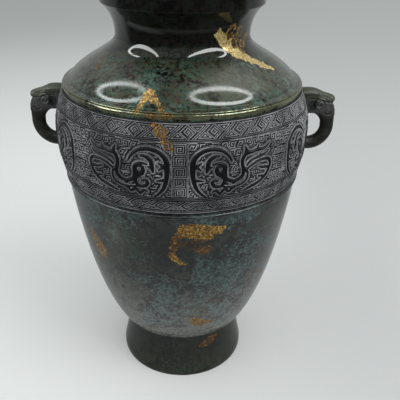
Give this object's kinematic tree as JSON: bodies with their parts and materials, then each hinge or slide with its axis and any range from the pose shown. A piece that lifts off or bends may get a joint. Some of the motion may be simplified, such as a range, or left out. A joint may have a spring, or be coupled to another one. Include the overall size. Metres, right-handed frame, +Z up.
{
  "type": "bronze vase",
  "caption": "Tall shouldered bronze vase with a flared mouth, a relief band between two mouldings, two ring handles and a spreading foot.",
  "frame": {"origin": "centre of the circle that the foot stands on, in the plane it rests on", "axes": "+Z up the vase's axis to the mouth, +X through the right handle, -Y towards the front of the picture"},
  "size_m": [0.2068, 0.169, 0.278],
  "materials": {
    "green_patina": "glossy clear lacquer over a dark bronze patina mottled in green, teal, brown and near-black",
    "dark_patina": "satin to glossy lacquer over a near-black bronze patina",
    "relief_grey": "matt grey powdery ground with near-black raised relief",
    "bare_bronze": "dull bare bronze, seen only from inside",
    "solder": "dull grey soft solder"
  },
  "bodies": {
    "root": {"foot_ring": "dark_patina", "belly": "green_patina", "relief_band": "relief_grey", "shoulder": "green_patina", "neck_and_mouth": "green_patina", "base_plate": "dark_patina", "base_solder": "solder", "right_handle": "dark_patina", "right_upper_rivet": "bare_bronze", "right_upper_washer": "bare_bronze", "right_lower_rivet": "bare_bronze", "right_lower_washer": "bare_bronze", "left_handle": "dark_patina", "left_upper_rivet": "bare_bronze", "left_upper_washer": "bare_bronze", "left_lower_rivet": "bare_bronze", "left_lower_washer": "bare_bronze"}
  },
  "joints": []
}
